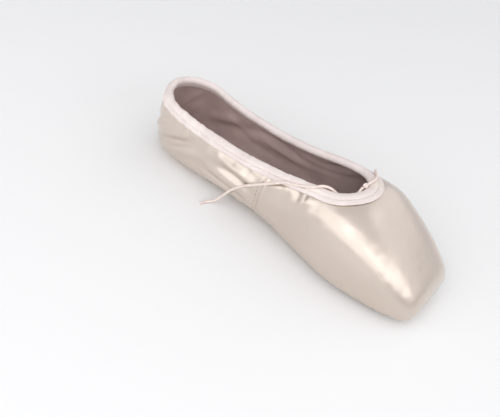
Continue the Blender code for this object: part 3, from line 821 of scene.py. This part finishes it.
# the spot lies where the knot has worked on the tape at the throat; the noise's scale frays its edge
SPOT_CENTRE = 9.0 * MM, -52.0 * MM, 60.8 * MM
SPOT_CORE, SPOT_RIM = 1.6 * MM, 3.4 * MM
SPOT_STRENGTH, SPOT_FRAY = 0.9, 420
SPOT_TONE = 0.79, 0.72, 0.64


def rub_spot(material, centre, tone):
    """A rubbed spot with a ragged edge in a material's colour."""
    nodes, links = material.node_tree.nodes, material.node_tree.links
    colour = shader_of(material).inputs["Base Color"]
    place = nodes.new("ShaderNodeTexCoord")
    away = nodes.new("ShaderNodeVectorMath")
    away.operation = "DISTANCE"
    away.inputs[1].default_value = centre
    fray = nodes.new("ShaderNodeTexNoise")
    fray.inputs["Scale"].default_value = SPOT_FRAY
    ragged = nodes.new("ShaderNodeMath")
    ragged.operation = "MULTIPLY"
    fade = nodes.new("ShaderNodeMapRange")
    fade.inputs["From Min"].default_value = SPOT_CORE
    fade.inputs["From Max"].default_value = SPOT_RIM
    fade.inputs["To Min"].default_value = SPOT_STRENGTH
    fade.inputs["To Max"].default_value = 0
    rubbed = nodes.new("ShaderNodeMix")
    rubbed.data_type = "RGBA"
    # for colours, the node has its factor and its two inputs at these places
    factor, first, second = (rubbed.inputs[k] for k in (0, 6, 7))
    second.default_value = (*tone, 1)
    links.new(place.outputs["Object"], away.inputs[0])
    links.new(place.outputs["Object"], fray.inputs["Vector"])
    links.new(away.outputs["Value"], ragged.inputs[0])
    links.new(fray.outputs["Fac"], ragged.inputs[1])
    links.new(ragged.outputs["Value"], fade.inputs["Value"])
    links.new(fade.outputs["Result"], factor)
    links.new(colour.links[0].from_socket, first)
    links.new(rubbed.outputs[2], colour)


TAPE_TONES = (0.76, 0.67, 0.64), (0.82, 0.735, 0.705)
tape = cloth_material("casing tape", TAPE_TONES, 70, roughness=0.6)
thread_bump(tape, 1600, 0.25)
rub_spot(tape, SPOT_CENTRE, SPOT_TONE)
casing = tape_loop("bound_casing", casing_half(FAR), casing_half(NEAR))
casing.data.materials.append(tape)
thicken(casing, TAPE_THICKNESS)
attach(casing, "root")
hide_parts("collar_casing")

# Stitches
# Lockstitch made by machine, in thread darkened with painted shade for the shadowed stitch holes: two
# rows hold the casing down, and one row on each side of the heel seam and behind each side seam holds
# the folded edges flat.
STITCH_LENGTH = 2.0 * MM
STITCH_STEP = 2.9 * MM
STITCH_RADIUS = 0.24 * MM
STITCH_SIDES = 6
# a stitch's rings from end to end: share of its length, share of its radius, and rise in radii
STITCH_RINGS = (
    (0, 0.25, -0.9), (0.12, 0.85, 0.0), (0.5, 1.0, 0.4), (0.88, 0.85, 0.0), (1.0, 0.25, -0.9),
)
# the casing's two rows by their places in CASING_SHARES, the seams' rows by their places on the last
CHANNEL_ROW, EDGE_ROW = 10, 17
BESIDE_SEAM = 1.9 * MM
HEEL_ROW = 0.9955
SIDE_ROW = (SIDE_SEAM + BESIDE_SEAM) / SHOE_LENGTH
SEAM_ROW_FOOT = 7 * MM
SEAM_ROW_POINTS, HIDDEN_BY_CASING = 60, 9


def laid_on(piece, line):
    """A line moved onto a piece's surface, and the surface's normals along it."""
    mesh = piece.data
    tree = BVHTree.FromPolygons([v.co for v in mesh.vertices], [p.vertices for p in mesh.polygons])
    found = [tree.find_nearest(tuple(point)) for point in line]
    return np.array([spot[0] for spot in found]), np.array([spot[1] for spot in found])


def stitch_row(name, piece, lines):
    """Small rounded stitches laid end to end along lines on a piece, sunk a little at their ends."""
    shares, radii, rises = (np.array(column) for column in zip(*STITCH_RINGS))
    turns = np.linspace(0, 2 * math.pi, STITCH_SIDES + 1)[:-1]
    points, faces = [], []
    for line in lines:
        line, normals = laid_on(piece, line)
        length = run_length(line)
        for start in np.arange(0, length[-1] - STITCH_LENGTH, STITCH_STEP):
            at = start + shares * STITCH_LENGTH
            middle, out = (
                np.stack([np.interp(at, length, values[:, axis]) for axis in range(3)], -1)
                for values in (line, normals)
            )
            out /= np.linalg.norm(out, axis=1, keepdims=True)
            forward = np.gradient(middle, axis=0)
            forward /= np.linalg.norm(forward, axis=1, keepdims=True)
            aside = np.cross(forward, out)
            base = len(points)
            for k, radius in enumerate(radii * STITCH_RADIUS):
                for turn in turns:
                    rise = rises[k] * STITCH_RADIUS + radius * math.sin(turn)
                    points.append(middle[k] + out[k] * rise + aside[k] * radius * math.cos(turn))
            rings = [
                [base + STITCH_SIDES * k + n for n in range(STITCH_SIDES)] for k in range(len(radii))
            ]
            for ring, after in zip(rings, rings[1:]):
                for n in range(STITCH_SIDES):
                    m = (n + 1) % STITCH_SIDES
                    faces.append((ring[n], after[n], after[m], ring[m]))
            faces += [rings[0], rings[-1][::-1]]
    row = new_mesh(name, points, faces)
    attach(row, "root")
    return row


# the thread's own tone, darkened with painted shade that stands in for the shadowed stitch holes
THREAD_AND_HOLE_SHADE_TONES = (0.37, 0.28, 0.255), (0.45, 0.35, 0.32)
thread = cloth_material("thread with painted hole shade", THREAD_AND_HOLE_SHADE_TONES, 200, roughness=0.55)

band, _ = casing_band(CASING_ROWS, CASING_SHARES)
casing_lines = [
    np.concatenate([band[::-1, j] * [-1, 1, 1], band[1:, j]]) for j in (CHANNEL_ROW, EDGE_ROW)
]
casing_stitches = stitch_row("casing_stitches", casing, casing_lines)
casing_stitches.data.materials.append(thread)

seam_lines = []
for along in (HEEL_ROW, SIDE_ROW):
    line = evenly(rib_points(along, Spans(6, 6, 6, 10)), SEAM_ROW_POINTS)
    line = line[line[:, 2] > SEAM_ROW_FOOT][:-HIDDEN_BY_CASING]
    seam_lines += [line, line * [-1, 1, 1]]
seam_stitches = stitch_row("seam_stitches", satin_cover, seam_lines)
seam_stitches.data.materials.append(thread)

# Drawstring
# A thin covered elastic cord. Its two ends leave the casing at the throat, meet in a small knot and
# lie loose: the long one back along the near side, the short one over the far side of the vamp.
CORD_DIAMETER = 1.8 * MM
# the routes of the two ends and the knot's place and coil, in mm
NEAR_END = (
    (-1.5, -48.0, 61.0), (-4.5, -47.5, 58.0), (-8.5, -46.5, 55.5), (-12.0, -44.5, 54.5),
    (-14.0, -40.5, 54.5), (-15.0, -37.0, 56.0), (-16.5, -33.5, 58.0), (-19.0, -29.0, 58.5),
    (-23.0, -24.0, 56.5), (-24.5, -18.0, 54.0), (-25.5, -12.0, 51.5), (-26.0, -6.0, 49.5),
    (-27.5, -0.5, 46.0), (-28.5, 6.5, 41.0), (-29.5, 13.5, 36.0), (-30.0, 21.0, 30.0),
    (-30.0, 27.5, 23.5), (-30.0, 33.0, 16.0), (-30.0, 37.0, 9.0), (-31.0, 40.5, 3.5),
    (-34.0, 44.0, 1.5), (-37.0, 46.0, 1.0), (-40.0, 47.0, 1.0),
)
FAR_END = (
    (2.0, -48.5, 61.5), (5.5, -49.5, 62.0), (10.0, -50.0, 62.5), (14.5, -49.0, 62.0),
    (19.0, -46.5, 60.5), (23.5, -44.0, 58.5), (27.0, -42.5, 56.5), (30.0, -42.0, 53.0),
    (32.5, -42.5, 49.5), (35.0, -44.0, 45.5),
)
KNOT_MIDDLE = 0, -48.75, 62.0
KNOT_WIDTH, KNOT_WRAP = 2.2, 0.95
KNOT_TURNS, KNOT_POINTS = 2.6, 60
KNOT_STRAND = 1.5 * MM
ROUTE_STEPS = 8


def smooth_route(route):
    """A curve through all the points of a route, with even steps from one to the next."""
    points = np.array(route) * MM
    before_first = 2 * points[0] - points[1]
    after_last = 2 * points[-1] - points[-2]
    points = np.concatenate([[before_first], points, [after_last]])
    t = np.linspace(0, 1, ROUTE_STEPS, endpoint=False)[:, None]
    curve = []
    for before, start, end, after in zip(points, points[1:], points[2:], points[3:]):
        bend = 2 * before - 5 * start + 4 * end - after
        turn = 3 * start - before - 3 * end + after
        curve.append(start + 0.5 * t * (end - before + t * (bend + t * turn)))
    return np.concatenate(curve + [points[-2:-1]])


def cord_curve(name, line, diameter, material):
    curve = bpy.data.curves.new(name, "CURVE")
    curve.dimensions = "3D"
    curve.bevel_depth = diameter / 2
    curve.bevel_resolution = 4
    curve.use_fill_caps = True
    spline = curve.splines.new("POLY")
    spline.points.add(len(line) - 1)
    for spot, place in zip(spline.points, line):
        spot.co = (*place, 1)
    spline.use_smooth = True
    curve.materials.append(material)
    piece = bpy.data.objects.new(name, curve)
    bpy.context.scene.collection.objects.link(piece)
    return piece


ELASTIC_TONES = (0.78, 0.655, 0.60), (0.85, 0.735, 0.68)
elastic = cloth_material("covered elastic", ELASTIC_TONES, 300, roughness=0.5)
thread_bump(elastic, 2200, 0.4)

turns = np.linspace(0, KNOT_TURNS * 2 * math.pi, KNOT_POINTS)
across = (turns / turns[-1] - 0.5) * KNOT_WIDTH
wraps = np.stack([across, KNOT_WRAP * np.cos(turns), KNOT_WRAP * np.sin(turns)], -1)
knot = cord_curve("throat_knot", (KNOT_MIDDLE + wraps) * MM, KNOT_STRAND, elastic)
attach(knot, "root")
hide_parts("drawstring_knot")

for name, route, node, tied in (
    ("long_end", NEAR_END, "drawstring_near", [knot]),
    ("short_end", FAR_END, "drawstring_far", []),
):
    line = smooth_route(route)
    cord = cord_curve(name, line, CORD_DIAMETER, elastic)
    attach(cord, "root")
    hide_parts(node)

# Floor and light
# A pale paper floor that glows a little away from the shoe, in front of a soft grey wall. Three soft
# boxes stand side by side where the viewer is, one behind the shoe, and one hangs overhead.
FLOOR_REACH = 4
FLOOR_TONE = 0.88, 0.88, 0.88, 1
FLOOR_GLOW = 0.14
GLOW_START, GLOW_END = 0.7, 3.2
WALL_STOPS = (0.10, (0.70, 0.70, 0.715, 1)), (0.42, (0.31, 0.31, 0.325, 1))

corners = [(-1, -1, 0), (1, -1, 0), (1, 1, 0), (-1, 1, 0)]
floor = new_mesh("floor", FLOOR_REACH * np.array(corners, float), [(0, 1, 2, 3)])
paper = bpy.data.materials.new("pale paper")
paper.use_nodes = True
nodes, links = paper.node_tree.nodes, paper.node_tree.links
shader = shader_of(paper)
shader.inputs["Base Color"].default_value = FLOOR_TONE
shader.inputs["Roughness"].default_value = 1.0
shader.inputs["Specular IOR Level"].default_value = 0
shader.inputs["Emission Color"].default_value = (1, 1, 1, 1)
place = nodes.new("ShaderNodeTexCoord")
away = nodes.new("ShaderNodeVectorMath")
away.operation = "LENGTH"
glow = nodes.new("ShaderNodeMapRange")
glow.interpolation_type = "SMOOTHSTEP"
glow.inputs["From Min"].default_value = GLOW_START
glow.inputs["From Max"].default_value = GLOW_END
glow.inputs["To Max"].default_value = FLOOR_GLOW
links.new(place.outputs["Object"], away.inputs[0])
links.new(away.outputs["Value"], glow.inputs["Value"])
links.new(glow.outputs["Result"], shader.inputs["Emission Strength"])
floor.data.materials.append(paper)

world = bpy.data.worlds.new("studio")
world.use_nodes = True
nodes, links = world.node_tree.nodes, world.node_tree.links
way = nodes.new("ShaderNodeTexCoord")
height = nodes.new("ShaderNodeSeparateXYZ")
wall_tone = nodes.new("ShaderNodeValToRGB")
for stop, (position, tone) in zip(wall_tone.color_ramp.elements, WALL_STOPS):
    stop.position = position
    stop.color = tone
links.new(way.outputs["Generated"], height.inputs["Vector"])
links.new(height.outputs["Z"], wall_tone.inputs["Fac"])
links.new(wall_tone.outputs["Color"], nodes["Background"].inputs["Color"])
bpy.context.scene.world = world
bpy.context.scene.view_settings.view_transform = "Standard"

SoftBox = namedtuple("SoftBox", "name azimuth elevation distance width height watts")
SOFT_BOXES = (
    SoftBox("key_left", -119, 35, 1.3, 1.05, 1.2, 5.2),
    SoftBox("key_middle", -73, 35, 1.3, 1.0, 1.2, 4.95),
    SoftBox("key_right", -17, 33, 1.3, 1.45, 0.46, 4.2),
    SoftBox("fill", 62, 38, 1.6, 2.2, 1.2, 6.2),
    SoftBox("overhead", 20, 86, 3.0, 4.0, 4.0, 28),
)


def stand(azimuth, elevation, distance, roll=0):
    """Where a light or the camera stands to look at the middle of the floor from this side."""
    a, e, r = (math.radians(angle) for angle in (azimuth, elevation, roll))
    back = np.array([math.sin(a) * math.cos(e), -math.cos(a) * math.cos(e), math.sin(e)])
    right = np.cross(-back, [0, 0, 1])
    right /= np.linalg.norm(right)
    up = np.cross(right, -back)
    across = math.cos(r) * right + math.sin(r) * up
    upward = -math.sin(r) * right + math.cos(r) * up
    rows = zip(np.stack([across, upward, back], 1), back * distance)
    return Matrix([[*row, place] for row, place in rows] + [[0, 0, 0, 1]])


for box in SOFT_BOXES:
    light = bpy.data.lights.new(box.name, "AREA")
    light.shape = "RECTANGLE"
    light.size, light.size_y = box.width, box.height
    light.energy = box.watts
    lamp = bpy.data.objects.new(box.name, light)
    lamp.matrix_world = stand(box.azimuth, box.elevation, box.distance)
    bpy.context.scene.collection.objects.link(lamp)

# Camera
# It sees the shoe as the photograph does: from the near side, above the ball and rolled a little. Its
# shift puts the middle of the floor at its pixel in the photograph's frame.
PHOTO_WIDTH, PHOTO_HEIGHT = 500, 417
FOCAL_PIXELS = 700
MIDDLE_PIXEL = 284.8, 214.4
SENSOR = 36
lens = bpy.data.cameras.new("camera")
lens.sensor_width = SENSOR
lens.lens = FOCAL_PIXELS / PHOTO_WIDTH * SENSOR
lens.shift_x = (PHOTO_WIDTH / 2 - MIDDLE_PIXEL[0]) / PHOTO_WIDTH
lens.shift_y = (MIDDLE_PIXEL[1] - PHOTO_HEIGHT / 2) / PHOTO_WIDTH
lens.clip_start, lens.clip_end = 0.01, 20
camera = bpy.data.objects.new("camera", lens)
camera.matrix_world = stand(azimuth=-65.3, elevation=41.24, distance=0.5075, roll=17.33)
bpy.context.scene.collection.objects.link(camera)
bpy.context.scene.camera = camera
